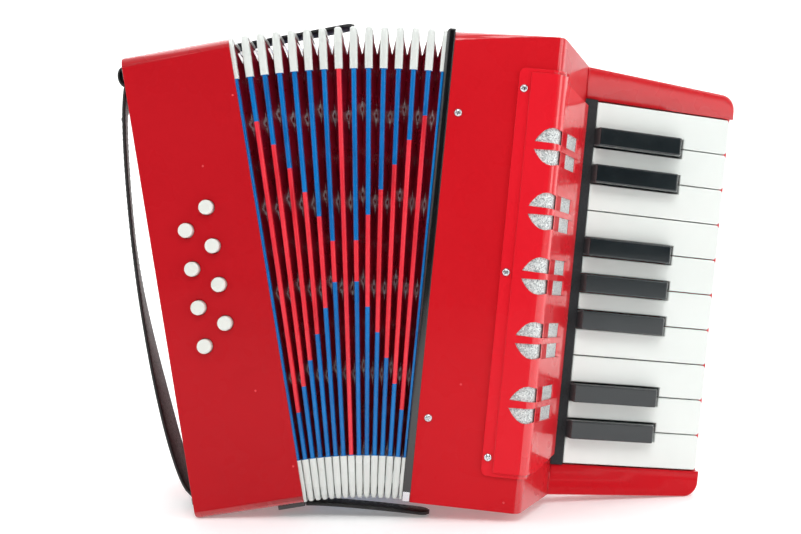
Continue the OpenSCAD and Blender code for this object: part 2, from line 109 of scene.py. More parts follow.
# ---- Materials ----
def srgb(r, g, b):
    def lin(c):
        c /= 255.0
        return c / 12.92 if c <= 0.04045 else ((c + 0.055) / 1.055) ** 2.4
    return (lin(r), lin(g), lin(b), 1.0)


class Shader:
    """A Principled material built from nodes."""

    def __init__(self, name):
        self.mat = bpy.data.materials.new(name)
        self.mat.use_nodes = True
        self.tree = self.mat.node_tree
        self.tree.nodes.clear()
        out = self.node("OutputMaterial")
        self.bsdf = self.node("BsdfPrincipled")
        self.link(self.bsdf.outputs[0], out.inputs[0])
        self.coord = self.node("TexCoord")

    def node(self, kind, **props):
        n = self.tree.nodes.new("ShaderNode" + kind)
        for key, value in props.items():
            setattr(n, key, value)
        return n

    def link(self, a, b):
        self.tree.links.new(a, b)

    def set(self, **sockets):
        for key, value in sockets.items():
            self.bsdf.inputs[key.replace("_", " ")].default_value = value

    def noise(self, scale, detail=3.0, rough=0.5, stretch=(1, 1, 1)):
        m = self.node("Mapping")
        m.inputs["Scale"].default_value = stretch
        self.link(self.coord.outputs["Object"], m.inputs["Vector"])
        n = self.node("TexNoise")
        n.inputs["Scale"].default_value = scale
        n.inputs["Detail"].default_value = detail
        n.inputs["Roughness"].default_value = rough
        self.link(m.outputs[0], n.inputs["Vector"])
        return n.outputs["Fac"]

    def voronoi(self, scale):
        n = self.node("TexVoronoi", feature="F1")
        n.inputs["Scale"].default_value = scale
        self.link(self.coord.outputs["Object"], n.inputs["Vector"])
        return n.outputs["Distance"]

    def ramp(self, fac, stops):
        n = self.node("ValToRGB")
        e = n.color_ramp.elements
        while len(e) < len(stops):
            e.new(0.5)
        for i, (pos, colour) in enumerate(stops):
            e[i].position = pos
            e[i].color = colour
        self.link(fac, n.inputs["Fac"])
        return n.outputs["Color"]

    def spread(self, fac, low, high, from_low=0.3, from_high=0.7):
        n = self.node("MapRange")
        limits = {"From Min": from_low, "From Max": from_high, "To Min": low, "To Max": high}
        for key, value in limits.items():
            n.inputs[key].default_value = value
        self.link(fac, n.inputs["Value"])
        return n.outputs[0]

    def math(self, op, a, b=None):
        n = self.node("Math", operation=op)
        for i, v in enumerate((a, b)):
            if v is None:
                continue
            if isinstance(v, (int, float)):
                n.inputs[i].default_value = v
            else:
                self.link(v, n.inputs[i])
        return n.outputs[0]

    def mix(self, fac, a, b):
        n = self.node("Mix", data_type="RGBA")
        self.link(fac, n.inputs[0])
        for socket, v in ((n.inputs[6], a), (n.inputs[7], b)):
            if isinstance(v, tuple):
                socket.default_value = v
            else:
                self.link(v, socket)
        return n.outputs[2]

    def colour(self, value):
        self.link(value, self.bsdf.inputs["Base Color"])

    def rough(self, value):
        self.link(value, self.bsdf.inputs["Roughness"])

    def bump(self, height, strength, distance, edge=0.0):
        """A fine bump; edge is the radius in metres to which sharp edges look rounded."""
        n = self.node("Bump")
        n.inputs["Strength"].default_value = strength
        n.inputs["Distance"].default_value = distance
        self.link(height, n.inputs["Height"])
        self.link(n.outputs[0], self.bsdf.inputs["Normal"])
        if edge:
            bevel = self.node("Bevel", samples=4)
            bevel.inputs["Radius"].default_value = edge
            self.link(bevel.outputs[0], n.inputs["Normal"])
            self.link(bevel.outputs[0], self.bsdf.inputs["Coat Normal"])


def lacquer(name, colour, deep, edge=0.0007, coat=1.0, level=0.3):
    s = Shader(name)
    cloud = s.noise(14, 2)
    s.colour(s.ramp(cloud, [(0.25, deep), (0.75, colour)]))
    s.rough(s.spread(s.noise(60, 2), 0.24, 0.32))
    s.set(Coat_Weight=coat, Coat_Roughness=0.04, Coat_IOR=1.55, Specular_IOR_Level=level)
    s.bump(s.noise(240, 2), 0.05, 0.0003, edge)
    return s.mat


def plastic(name, colour, deep, low, high, grain=500, strength=0.04, edge=0.0005, coat=0.0):
    s = Shader(name)
    s.colour(s.ramp(s.noise(18, 4), [(0.3, deep), (0.7, colour)]))
    s.rough(s.spread(s.noise(80, 2), low, high))
    s.set(Coat_Weight=coat, Coat_Roughness=0.05)
    s.bump(s.noise(grain, 2), strength, 0.0002, edge)
    return s.mat


def metal(name, colour, deep, low, high, brushed=(1, 1, 1), strength=0.05):
    s = Shader(name)
    s.colour(s.ramp(s.noise(90, 3, stretch=brushed), [(0.3, deep), (0.7, colour)]))
    s.rough(s.spread(s.noise(160, 3, stretch=brushed), low, high))
    s.set(Metallic=1.0)
    s.bump(s.noise(700, 2, stretch=brushed), strength, 0.0001, 0.0003)
    return s.mat


def timber(name):
    s = Shader(name)
    grain = s.noise(30, 6, 0.6, stretch=(8, 8, 0.6))
    dark, middle, pale = srgb(150, 104, 60), srgb(196, 148, 96), srgb(214, 172, 120)
    s.colour(s.ramp(grain, [(0.3, dark), (0.5, middle), (0.72, pale)]))
    s.rough(s.spread(grain, 0.45, 0.7))
    s.bump(grain, 0.25, 0.0003, 0.0004)
    return s.mat


def leather(name, colour, deep):
    s = Shader(name)
    cells = s.voronoi(1100)
    wear = s.noise(26, 4)
    s.colour(s.ramp(wear, [(0.3, deep), (0.68, colour)]))
    s.rough(s.spread(cells, 0.34, 0.58, 0.0, 0.8))
    s.bump(cells, 0.35, 0.0003, 0.0004)
    return s.mat


def felt(name):
    s = Shader(name)
    fuzz = s.noise(900, 5, 0.7)
    s.colour(s.ramp(fuzz, [(0.3, srgb(10, 12, 14)), (0.7, srgb(34, 38, 42))]))
    s.set(Roughness=0.9, Sheen_Weight=0.3)
    s.bump(fuzz, 0.5, 0.0005)
    return s.mat


def mesh_metal(name):
    s = Shader(name)
    cells = s.voronoi(1500)
    flecks = s.noise(1300, 3, 0.7)
    # The holes are painted dark grey: painted shade of the hollow seen through the mesh.
    hole_shade = s.ramp(cells, [(0.16, (1, 1, 1, 1)), (0.3, (0, 0, 0, 1))])
    dark, middle, pale = srgb(146, 152, 154), srgb(206, 212, 211), srgb(236, 240, 238)
    base = s.ramp(flecks, [(0.38, dark), (0.5, middle), (0.64, pale)])
    s.colour(s.mix(hole_shade, base, srgb(78, 84, 88)))
    s.rough(s.spread(flecks, 0.3, 0.5))
    s.set(Metallic=0.3)
    s.bump(cells, 0.5, 0.0004)
    return s.mat


def tape(name, colour, deep, edge_colour):
    s = Shader(name)
    weave = s.noise(220, 3, stretch=(1, 1, 0.12))
    s.colour(s.ramp(weave, [(0.25, edge_colour), (0.42, deep), (0.66, colour)]))
    s.rough(s.spread(s.noise(120, 2), 0.2, 0.34))
    s.set(Coat_Weight=0.25, Coat_Roughness=0.15, Specular_IOR_Level=0.25)
    s.bump(s.noise(500, 3, stretch=(1, 1, 0.3)), 0.12, 0.0003)
    return s.mat


def card(name):
    """Maroon card with a printed silver teardrop at regular heights. UV: across the fold, along it in mm."""
    half_pitch = 21.25
    s = Shader(name)
    split = s.node("SeparateXYZ")
    s.link(s.coord.outputs["UV"], split.inputs[0])
    u, v = split.outputs[0], split.outputs[1]
    du = s.math("ABSOLUTE", s.math("SUBTRACT", u, 0.5))
    cell = s.math("WRAP", v, half_pitch)
    cell.node.inputs[2].default_value = -half_pitch
    dv = s.math("ABSOLUTE", cell)

    def reach(along, across, start=dv):
        """Distance from the motif's middle: 1 is the edge of a diamond of this half height and width."""
        return s.math("ADD", s.math("DIVIDE", start, along), s.math("DIVIDE", du, across))

    drop = s.math("LESS_THAN", reach(4.6, 0.24), 0.88)
    spine = s.math("LESS_THAN", reach(7.0, 0.06), 0.9)
    outside_hole = s.math("GREATER_THAN", reach(1.6, 0.1), 1.0)
    shape = s.math("MULTIPLY", s.math("MAXIMUM", drop, spine), outside_hole)
    broken = s.math("GREATER_THAN", s.noise(900, 2), 0.42)
    shape = s.math("MULTIPLY", shape, broken)
    # A fainter mark half way between the teardrops
    far = s.math("ABSOLUTE", s.math("SUBTRACT", dv, half_pitch))
    ring = s.math("LESS_THAN", reach(3.0, 0.3, far), 1.0)
    speck = s.math("GREATER_THAN", s.noise(1500, 2), 0.6)
    shape = s.math("MAXIMUM", shape, s.math("MULTIPLY", ring, s.math("MULTIPLY", speck, 0.35)))
    cloud = s.noise(40, 4)
    base = s.ramp(cloud, [(0.3, srgb(132, 14, 36)), (0.7, srgb(168, 22, 50))])
    s.colour(s.mix(shape, base, srgb(190, 182, 186)))
    s.rough(s.spread(s.noise(90, 3), 0.24, 0.42))
    # The print glows faintly: a painted highlight that stands in for the silver foil's shine in the shade of
    # the folds.
    painted_foil_glow = s.mix(shape, (0.0, 0.0, 0.0, 1.0), (1.0, 0.96, 0.98, 1.0))
    s.link(painted_foil_glow, s.bsdf.inputs["Emission Color"])
    s.set(Coat_Weight=0.6, Coat_Roughness=0.12, Emission_Strength=0.035)
    s.bump(s.noise(600, 3), 0.12, 0.0003)
    return s.mat


def paper_floor(name):
    s = Shader(name)
    s.colour(s.ramp(s.noise(3, 5), [(0.3, (0.88, 0.88, 0.88, 1)), (0.7, (0.91, 0.91, 0.91, 1))]))
    s.set(Roughness=0.75, Specular_IOR_Level=0.2)
    s.set(Emission_Color=(1, 1, 1, 1), Emission_Strength=0.22)
    s.bump(s.noise(160, 4), 0.06, 0.0004)
    return s.mat


RED = lacquer("red_lacquer", srgb(204, 24, 34), srgb(198, 21, 31), 0.0007, 0.8)
RED_FRONT = lacquer("red_lacquer_front", srgb(200, 24, 34), srgb(194, 21, 31), 0.0007, 0.06, 0.06)
RED_BASS = lacquer("red_lacquer_bass", srgb(184, 24, 33), srgb(178, 21, 30), 0.0007, 0.9)
RED_BASS_FRONT = lacquer("red_lacquer_bass_front", srgb(184, 24, 33), srgb(178, 21, 30), 0.0007, 0.06, 0.06)
RED_PANEL = lacquer("red_panel", srgb(221, 29, 41), srgb(215, 25, 37), 0.0004, 0.9)
RED_PANEL_FRONT = lacquer("red_panel_front", srgb(220, 29, 42), srgb(214, 25, 38), 0.0004, 0.08, 0.06)
# Pocket floors and far walls beside the ridge: a darker red without gloss, which is painted shade.
RED_RECESS_SHADE = lacquer("red_recess_painted_shade", srgb(196, 20, 34), srgb(180, 16, 30), 0.0, 0.0, 0.1)
RED_PLATE = plastic("red_end_plate", srgb(170, 20, 28), srgb(150, 16, 24), 0.3, 0.42, coat=0.4)
BLACK = plastic("black_gloss", srgb(16, 18, 20), srgb(9, 10, 12), 0.12, 0.2, 300, 0.03, 0.0012, 0.8)
BOARD = plastic("black_board", srgb(30, 31, 33), srgb(18, 19, 20), 0.45, 0.6, 700, 0.2)
WHITE_KEY = plastic("white_key", srgb(232, 237, 233), srgb(225, 231, 227), 0.14, 0.24, 300, 0.02, 0.0006, 0.5)
BLACK_KEY = plastic("black_key", srgb(26, 35, 38), srgb(16, 23, 26), 0.12, 0.2, 260, 0.02, 0.0005, 0.4)
BUTTON = plastic("bass_button", srgb(228, 230, 224), srgb(216, 219, 212), 0.2, 0.32, 300, 0.03, 0.0006, 0.4)
# The pins are pinker than the casing: their own red paint plus a painted highlight, for the light specks they
# make.
PIN_PAINTED_HIGHLIGHT = plastic("pin_red_painted_highlight", srgb(226, 70, 76), srgb(208, 48, 56), 0.3, 0.4, 400, 0.05, 0.0)
CHROME = metal("chrome", srgb(222, 223, 226), srgb(196, 198, 202), 0.12, 0.24)
STEEL = metal("drawn_steel", srgb(190, 191, 194), srgb(150, 152, 156), 0.3, 0.45, (1, 1, 0.05), 0.15)
BRASS = metal("antique_brass", srgb(176, 140, 88), srgb(120, 92, 56), 0.25, 0.4)
WOOD = timber("bare_wood")
STRAP = leather("strap_leather", srgb(24, 24, 25), srgb(12, 12, 13))
CORNER = plastic("corner_white", srgb(222, 226, 222), srgb(206, 211, 207), 0.22, 0.34, 400, 0.05, 0.0, 0.5)
BLUE_TAPE = tape("blue_tape", srgb(0, 114, 186), srgb(0, 104, 174), srgb(0, 86, 152))
RED_TAPE = tape("red_tape", srgb(232, 54, 68), srgb(220, 42, 56), srgb(192, 30, 44))
CARD = card("maroon_card")
FELT = felt("black_felt")
MESH = mesh_metal("silver_mesh")
THREAD = plastic("thread", srgb(70, 64, 60), srgb(40, 36, 34), 0.6, 0.8, 1500, 0.4, 0.0)
FLOOR = paper_floor("pale_floor")


# ---- Building ----
def finish_mesh(name, bm, materials, body, replaces=(), angle=38, weighted=True):
    """Makes the piece: smooth faces with edges sharper than angle kept, on its body, with its materials."""
    mesh = bpy.data.meshes.new(name)
    bm.to_mesh(mesh)
    bm.free()
    for p in mesh.polygons:
        p.use_smooth = True
    mesh.set_sharp_from_angle(angle=math.radians(angle))
    for m in materials:
        mesh.materials.append(m)
    obj = bpy.data.objects.new(name, mesh)
    scene.collection.objects.link(obj)
    if weighted:
        w = obj.modifiers.new("normals", "WEIGHTED_NORMAL")
        w.keep_sharp = True
    if body:
        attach(obj, body)
    if replaces:
        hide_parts(*replaces)
    return obj


def cad_mesh(node):
    """The CAD node's own shape with its triangles merged back into whole faces."""
    bm = bmesh.new()
    bm.from_mesh(nodes[node].data)
    bmesh.ops.remove_doubles(bm, verts=bm.verts, dist=2e-6)
    bmesh.ops.dissolve_limit(bm, angle_limit=math.radians(0.5), verts=bm.verts, edges=bm.edges)
    return bm


def round_edges(bm, width, local, pick):
    """Rounds the sharp outer edges that pick(local middle, normal a, normal b, length) chooses."""
    sharp = math.radians(30)
    inverse = local.inverted()
    turn_only = inverse.to_3x3()
    chosen = []
    for e in bm.edges:
        if len(e.link_faces) != 2 or not e.is_convex:
            continue
        if e.calc_face_angle(0.0) < sharp:
            continue
        middle = inverse @ ((e.verts[0].co + e.verts[1].co) / 2) / MM
        a, b = (turn_only @ f.normal for f in e.link_faces)
        if pick(middle, a, b, e.calc_length() / MM):
            chosen.append(e)
    if chosen:
        bmesh.ops.bevel(bm, geom=chosen, offset=width * MM, offset_type="OFFSET", segments=4,
                        profile=0.5, affect="EDGES", clamp_overlap=True, miter_outer="SHARP")


def softened(node, body, material, local, rounds, name=None, others=()):
    """The CAD shape with rounded edges: rounds holds (width, pick) pairs.

    others holds (material, test(local middle, local normal)) for faces of another look.
    """
    bm = cad_mesh(node)
    for width, pick in rounds:
        round_edges(bm, width, local, pick)
    inverse = local.inverted()
    for f in bm.faces:
        middle, normal = inverse @ f.calc_center_median() / MM, inverse.to_3x3() @ f.normal
        for i, (_, test) in enumerate(others, 1):
            if test(middle, normal):
                f.material_index = i
    looks = [material] + [m for m, _ in others]
    return finish_mesh(name or node + "_shell", bm, looks, body, (node,))


def keep(node, material):
    """A CAD node that stays as it is, with its own material."""
    obj = nodes[node]
    obj.data.materials.clear()
    obj.data.materials.append(material)


def swept(path, closed_path, closed_section):
    """Faces between rings of points: path is a list of rings, each a list of points in metres."""
    bm = bmesh.new()
    rings = [[bm.verts.new(p) for p in ring] for ring in path]
    n, m = len(rings), len(rings[0])
    for i in range(n if closed_path else n - 1):
        for j in range(m if closed_section else m - 1):
            a, b = rings[i], rings[(i + 1) % n]
            quad = (a[j], a[(j + 1) % m], b[(j + 1) % m], b[j])
            if len(set(quad)) == 4:
                bm.faces.new(quad)
    return bm, rings


# ---- Casings ----
def front_rim(mid, a, b, length):
    """The treble shell's top and bottom edges, over its front and its slope."""
    level = abs(a.z) > 0.9 or abs(b.z) > 0.9
    outward = min(a.y, b.y) < -0.4 or max(a.x, b.x) > 0.5
    return level and outward and mid.y < 36 and (mid.z > 222 or mid.z < 5) and mid.x > -1 and length > 0.5


def faces_front(middle, normal):
    return normal.y < -0.97


softened("treble_casing", "treble", RED, TREBLE, [(2.4, front_rim)], "treble_shell",
         others=[(RED_FRONT, faces_front)])
softened("bass_casing", "bass", RED_BASS, BASS,
         [(1.2, lambda m, a, b, n: min(a.y, b.y) < -0.9 and m.x < 0.5 - BASS_W and n > 100)], "bass_shell",
         others=[(RED_BASS_FRONT, faces_front)])


def bed_rim(m, a, b, length):
    """The front edges of the keybed's two cheeks and its outer lip."""
    return min(a.y, b.y) < -0.9 and abs(m.y) < 0.3 and m.x > -8 and (m.z > 210 or m.z < 17 or m.x > 74)


softened("keybed", "treble", RED, KEYS, [(1.0, bed_rim)], "keybed_tray",
         others=[(RED_FRONT, lambda m, normal: faces_front(m, normal) and m.z < 110)])
softened("bass_end_plate", "bass", RED_PLATE, BASS, [(0.5, lambda m, a, b, n: True)])
softened("treble_back_cover", "treble", BOARD, TREBLE,
         [(0.8, lambda m, a, b, n: n > 60 and m.y > BOX_D - 1)])


def frame_rim(m, a, b, length):
    """The outer edges of the treble bellows frame on the bellows side."""
    return m.x < 1 - FRAME_W and (m.y < 1 or m.y > 108 or m.z < 1 or m.z > BOX_H - 1)


softened("treble_bellows_frame", "treble", BLACK, TREBLE, [(1.6, frame_rim)])
SLOPE = math.atan((FOOT_Y + TREBLE_RISE) / (FOOT_X - TREBLE_W))


def recessed(middle, normal):
    """The floor of the shallow pockets beside the ridge, and the leaning far walls of the openings, which
    take painted shade.
    """
    steep = normal.x * math.sin(SLOPE) - normal.y * math.cos(SLOPE)
    out = (middle.x - TREBLE_W) * math.sin(SLOPE) - (middle.y + TREBLE_RISE) * math.cos(SLOPE)
    floor = steep > 0.99 and 1.0 < out < 1.9
    wall = 0.3 < steep < 0.97 and abs(normal.z) < 0.2 and normal.y < -0.5
    return middle.x > TREBLE_W + 3 and (floor or wall)


softened("register_panel", "treble", RED_PANEL, TREBLE,
         [(0.5, lambda m, a, b, n: n > 30)], others=[(RED_PANEL_FRONT, faces_front), (RED_RECESS_SHADE, recessed)])

for node in ("treble_soundboard", "treble_reed_block", "bass_button_plate", "bass_reed_block"):
    keep(node, WOOD)
keep("bass_bellows_frame", BLACK)
keep("key_rod", STEEL)
keep("key_strip", FELT)
keep("grille_mesh", MESH)
softened("strap_brackets", "treble", CHROME, TREBLE, [])
softened("snap_studs", "treble", BRASS, TREBLE, [])

# ---- Keys and buttons ----
BLACKS = {2, 4, 7, 9, 11, 14, 16}
for n in range(1, 18):
    if n in BLACKS:
        softened(f"key_{n}", f"key_{n}_lever", BLACK_KEY, KEYS,
                 [(0.7, lambda m, a, b, length: m.y < 1.5 and m.x > 1 and length > 5)], f"key_{n}_black",
                 others=[(FELT, lambda m, normal: normal.x < -0.9)])
    else:
        softened(f"key_{n}", f"key_{n}_lever", WHITE_KEY, KEYS,
                 [(0.6, lambda m, a, b, length: m.y < 0.2 and min(a.y, b.y) < -0.9)], f"key_{n}_white")

for n in range(1, 9):
    softened(f"bass_button_{n}", f"bass_button_{n}_stem", BUTTON, BASS_FRONT,
             [(1.0, lambda m, a, b, length: m.y < -3)], f"bass_button_{n}_cap")


# ---- Screws and pins ----
def turned(profile, turns):
    """A profile of (radius, height towards -Y) points turned about the Y axis. Radius 0 is a tip."""
    bm = bmesh.new()
    rings = []
    for radius, height in profile:
        if radius == 0:
            rings.append([bm.verts.new((0, -height * MM, 0))])
            continue
        ring = []
        for i in range(turns):
            a = 2 * math.pi * i / turns
            ring.append(bm.verts.new((radius * MM * math.cos(a), -height * MM, radius * MM * math.sin(a))))
        rings.append(ring)
    for a, b in zip(rings, rings[1:]):
        for i in range(turns):
            j = (i + 1) % turns
            if len(a) == 1:
                bm.faces.new((a[0], b[i], b[j]))
            elif len(b) == 1:
                bm.faces.new((a[i], b[0], a[j]))
            else:
                bm.faces.new((a[i], b[i], b[j], a[j]))
    return bm, rings


def screw_mesh():
    """A cross-head screw at the origin, its axis along Y and its head towards -Y."""
    head_profile = [(0.0, 1.1), (0.8, 1.06), (1.4, 0.9), (1.8, 0.55), (2.0, 0.12), (2.0, 0.0)]
    shank_profile = [(1.2, 0.0), (1.2, -5.0)]
    bm, rings = turned(head_profile + shank_profile, 28)
    bm.faces.new(list(reversed(rings[-1])))
    bmesh.ops.recalc_face_normals(bm, faces=bm.faces)
    head = bpy.data.meshes.new("screw_head")
    bm.to_mesh(head)
    bm.free()
    body = bpy.data.objects.new("screw_head_tmp", head)
    scene.collection.objects.link(body)
    cut = bmesh.new()
    slot_long, slot_deep, slot_wide = 2.3, 1.6, 0.5
    for x, z in ((slot_long, slot_wide), (slot_wide, slot_long)):
        size = Matrix.Diagonal((x * MM, slot_deep * MM, z * MM, 1))
        bmesh.ops.create_cube(cut, size=1.0, matrix=Matrix.Translation((0, -1.25 * MM, 0)) @ size)
    cutter_mesh = bpy.data.meshes.new("screw_cut")
    cut.to_mesh(cutter_mesh)
    cut.free()
    cutter = bpy.data.objects.new("screw_cut_tmp", cutter_mesh)
    scene.collection.objects.link(cutter)
    mod = body.modifiers.new("cross", "BOOLEAN")
    mod.operation = "DIFFERENCE"
    mod.solver = "EXACT"
    mod.use_self = True
    mod.object = cutter
    graph = bpy.context.evaluated_depsgraph_get()
    made = bpy.data.meshes.new_from_object(body.evaluated_get(graph))
    bpy.data.objects.remove(body)
    bpy.data.objects.remove(cutter)
    return made


def place_all(name, mesh, places, material, body, replaces=()):
    """One piece made of a copy of mesh at each of the places."""
    bm = bmesh.new()
    for m in places:
        part = bmesh.new()
        part.from_mesh(mesh)
        part.transform(m)
        copy = bpy.data.meshes.new("copy")
        part.to_mesh(copy)
        part.free()
        bm.from_mesh(copy)
        bpy.data.meshes.remove(copy)
    return finish_mesh(name, bm, [material], body, replaces, 30)


screw = screw_mesh()
spots = [FRONT @ at(5, 0, z) @ turn(a, "Y") for z, a in ((189.6, 20), (41.5, 65))]
spots += [FRONT @ at(35.3, -1.2, z) @ turn(a, "Y") for z, a in ((25.9, 10), (115.2, 40), (203.8, 75))]
spots += [TREBLE @ at(x, BOX_D, z) @ turn(180, "Z") @ turn(a, "Y")
          for x, z, a in ((8, 8, 15), (60, 8, 50), (8, 220, 70), (60, 220, 30))]
place_all("treble_screw_set", screw, spots, CHROME, "treble", ("treble_screws",))


def dome_mesh(r, h):
    """A low dome of radius r and height h that rises towards -Y."""
    sides = [(r * math.cos(math.radians(t)), h * math.sin(math.radians(t))) for t in (0, 30, 60)]
    bm, _ = turned(sides + [(0, h)], 16)
    bmesh.ops.recalc_face_normals(bm, faces=bm.faces)
    mesh = bpy.data.meshes.new("dome")
    bm.to_mesh(mesh)
    bm.free()
    return mesh


pin = dome_mesh(0.55, 0.2)
place_all("treble_pins", pin, [FRONT @ at(x, 0, z) for x, z in ((19.1, 59.3), (44.9, 4.8))],
          PIN_PAINTED_HIGHLIGHT, "treble")
bass_pins = ((-22.3, 169.7), (-14.5, 57.9), (-2.2, 201.3), (-2.2, 18.9))
place_all("bass_pins", pin, [BASS_FRONT @ at(x, 0, z) for x, z in bass_pins], PIN_PAINTED_HIGHLIGHT, "bass")


# ---- Bellows ----
# The folds' front and back, and the radius of their corners
Y0, Y1, CORNER_R = 1.0, 108.5, 3.0
# How far the white corner pieces reach, and where they have their full width
CORNER_LEN, CORNER_WIDE = 21.0, 8.0
# The materials of a fold's edge
WHITE, BLUE, RED_PART = 0, 1, 2


def stations(cuts):
    """Places round the rim of a fold, each with the colour of what follows and the length so far.

    They are ("side", (y, z), inward, ...) or ("corner", centre, angle, ...).
    cuts holds the (low, high) stretches that are red on the front and the back.
    """
    out = []
    depth = Y1 - Y0

    def colour(upright, pos, length):
        if pos < CORNER_LEN or pos > length - CORNER_LEN:
            return WHITE
        if upright and any(low <= pos < high for low, high in cuts):
            return RED_PART
        return BLUE

    def side(upright, length, place, inward, so_far):
        ends = CORNER_LEN + 0.01
        stops = {length / 2}
        for s in (CORNER_R, CORNER_WIDE, CORNER_LEN, ends):
            stops |= {s, length - s}
        if upright:
            for low, high in cuts:
                stops |= {low, high} if low > CORNER_LEN else set()
        for s in sorted(stops):
            if CORNER_R <= s <= length - CORNER_R:
                out.append(("side", place(s), inward, colour(upright, s + 0.005, length), so_far + s))

    def corner(y, z, first, so_far):
        for step in (0, 1, 2):
            out.append(("corner", (y, z), first - 22.5 * step, WHITE, so_far))

    near, far, low, high = Y0 + CORNER_R, Y1 - CORNER_R, CORNER_R, BOX_H - CORNER_R
    side(True, BOX_H, lambda s: (Y0, s), (1, 0), 0.0)
    corner(near, high, 157.5, BOX_H)
    side(False, depth, lambda s: (Y0 + s, BOX_H), (0, -1), BOX_H)
    corner(far, high, 67.5, BOX_H + Y1)
    side(True, BOX_H, lambda s: (Y1, BOX_H - s), (-1, 0), BOX_H + Y1)
    corner(far, low, -22.5, 2 * BOX_H + Y1)
    side(False, depth, lambda s: (Y1 - s, 0), (0, 1), 2 * BOX_H + Y1)
    corner(near, low, -112.5, 2 * BOX_H + 2 * Y1)
    return out


def spot(st, depth):
    """(y, z) of a station at a depth below the rim."""
    if st[0] == "side":
        edge = max(depth, CORNER_R)
        y, z = st[1][0] + st[2][0] * depth, st[1][1] + st[2][1] * depth
        if st[2][1] == 0:
            return y, min(max(z, edge), BOX_H - edge)
        return min(max(y, Y0 + edge), Y1 - edge), z
    a = math.radians(st[2])
    dy, dz = math.cos(a), math.sin(a)
    small = 0.3
    radius = max(CORNER_R - depth, small)
    inset = max(0.0, depth - (CORNER_R - small))
    cy = st[1][0] - math.copysign(inset, dy)
    cz = st[1][1] - math.copysign(inset, dz)
    return cy + radius * dy, cz + radius * dz


def bead_width(st):
    """Half the width of a fold's edge: a wide corner piece with a narrow tip, then the narrower tape."""
    y, z = spot(st, 0)
    half = 1.5 + 0.27 * z / BOX_H
    if st[0] == "corner":
        return half * 0.84
    from_corner = min(abs(z), abs(BOX_H - z)) if st[2][1] == 0 else min(abs(y - Y0), abs(Y1 - y))
    if from_corner < CORNER_R + 1:
        return half * 0.98
    return half * (1.12 if from_corner < CORNER_LEN + 0.005 else 0.7)


# A fold's edge in section, as (share of its half width, depth below the rim)
HALF_ROUND = [(0.25, 0.0), (0.6, 0.12), (0.9, 0.55), (1.0, 1.2), (1.0, 3.2)]
SECTION = [(-share, depth) for share, depth in reversed(HALF_ROUND)] + HALF_ROUND
END_SECTION = [(0.0, 3.2), (0.0, 0.0), (0.6, 0.0), (0.88, 0.2), (0.97, 0.7), (0.97, 3.2)]
TAPE_DEPTH = 0.12


def bead(k, name, body, replaces, cuts, side=0):
    """The taped edge of fold k: a rounded channel round the whole rim. side -1 or 1 keeps only half of it."""
    where = pleat_frame(k)
    section = [(side * share, depth) for share, depth in END_SECTION] if side else SECTION
    sts = stations(cuts)
    rings = []
    for st in sts:
        w = bead_width(st)
        sunk = 0.0 if st[3] == WHITE else TAPE_DEPTH
        ring = []
        for fx, depth in section:
            y, z = spot(st, depth + sunk)
            ring.append(where @ (Vector((fx * w, y, z)) * MM))
        rings.append(ring)
    bm, _ = swept(rings, True, True)
    bm.faces.ensure_lookup_table()
    m = len(section)
    for i, st in enumerate(sts):
        for j in range(m):
            bm.faces[i * m + j].material_index = st[3]
    bmesh.ops.recalc_face_normals(bm, faces=bm.faces)
    obj = finish_mesh(name, bm, [CORNER, BLUE_TAPE, RED_TAPE], body, replaces, 60, weighted=False)
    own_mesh(obj)
    return obj


# Each fold's taped edge changes from blue to red in a diamond pattern about the middle fold.
MIDDLE_FOLD, DIAMOND_Z = 7, 115.5
for k in range(1, PLEATS + 1):
    away = abs(MIDDLE_FOLD - k)
    half = 94.0 if away == 0 else 10 + 12.3 * (away - 1)
    red = (max(CORNER_LEN, DIAMOND_Z - half), min(BOX_H - CORNER_LEN, DIAMOND_Z + half))
    bead(k, f"pleat_{k}_edge", f"pleat_{k}_ring", (f"pleat_{k}",), [red])
bead(0, "treble_half_fold", "treble", (), [], -1)
bead(PLEATS + 1, "bass_half_fold", "bass", (), [], 1)

# The card between two folds: shares of the way across, and its depths below the rim
ACROSS = [0.0, 0.1, 0.25, 0.4, 0.47, 0.5, 0.53, 0.6, 0.75, 0.9, 1.0]
SHALLOW, DEEP = 1.6, 11.6


def fold(k):
    """The card between folds k and k + 1: two walls that meet in a valley."""
    a, b = pleat_frame(k), pleat_frame(k + 1)
    sts = stations([])
    rings, shares, uvs = [], [], []
    motif_start = 18.5
    shift = 2.4 * math.sin(2.1 * k + 0.6)
    for st in sts:
        ring = []
        wa = bead_width(st) * (0.55 if 0 < k else 0.3)
        wb = bead_width(st) * (0.55 if k < PLEATS else 0.3)
        for c in ACROSS:
            down = 1 - abs(2 * c - 1)
            if down >= 0.9:
                down = 0.9 + 0.1 * math.sin((down - 0.9) * 5 * math.pi)
            y, z = spot(st, SHALLOW + (DEEP - SHALLOW) * down)
            pa = a @ (Vector((-wa, y, z)) * MM)
            pb = b @ (Vector((wb, y, z)) * MM)
            ring.append(pa.lerp(pb, c))
            shares.append((k + c) / (k + 1) if k < PLEATS else (k + c) / (PLEATS + 1))
            uvs.append((c, st[4] - motif_start + shift))
        rings.append(ring)
    bm, _ = swept(rings, True, False)
    layer = bm.loops.layers.uv.new("UVMap")
    order = {v: i for i, v in enumerate(bm.verts)}
    m, n = len(ACROSS), len(sts)
    for f in bm.faces:
        idx = [order[loop.vert] for loop in f.loops]
        wraps = min(idx) < m and max(idx) >= (n - 1) * m
        for loop, i in zip(f.loops, idx):
            u, v = uvs[i]
            loop[layer].uv = (u, v + (2 * BOX_H + 2 * Y1 if wraps and i < m else 0.0))
    bmesh.ops.recalc_face_normals(bm, faces=bm.faces)
    obj = finish_mesh(f"fold_{k + 1}", bm, [CARD], None, (), 60, weighted=False)
    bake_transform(obj)
    return obj


for k in range(PLEATS + 1):
    fold(k)


